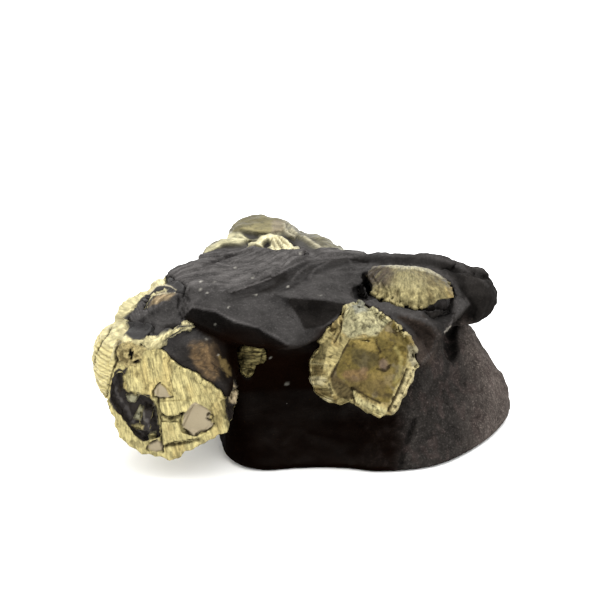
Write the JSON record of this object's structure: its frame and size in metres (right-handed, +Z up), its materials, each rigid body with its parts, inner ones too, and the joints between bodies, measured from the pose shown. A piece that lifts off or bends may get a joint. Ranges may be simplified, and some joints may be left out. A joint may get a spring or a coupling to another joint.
{
  "type": "pyrite specimen",
  "caption": "Black shale lump with a flat foot, a deep front recess and an overhanging cap that holds rounded nodules of radiating pyrite.",
  "frame": {"origin": "middle of the base, under the middle of the whole specimen", "axes": "+Z up from the flat spot it rests on, -Y towards the recess at the front, +X towards the arm at the right"},
  "size_m": [0.0837, 0.0576, 0.0362],
  "materials": {
    "shale": "matt black carbonaceous shale with a faint sheen on the top sheet",
    "pyrite_bright": "pale brassy broken pyrite with fine radiating fibres",
    "pyrite_brown": "brassy rim round a rough tarnished brown face",
    "pyrite_olive": "olive-brown tarnished pyrite dome",
    "pyrite_grey": "pale grey-brass pyrite with coarse ribs",
    "pyrite_dull": "dull brassy crystals in the recess"
  },
  "bodies": {
    "root": {"matrix": "shale", "pyrite_left": "pyrite_bright", "pyrite_middle": "pyrite_brown", "pyrite_right": "pyrite_olive", "pyrite_back": "pyrite_grey", "pyrite_small": "pyrite_dull"}
  },
  "joints": []
}
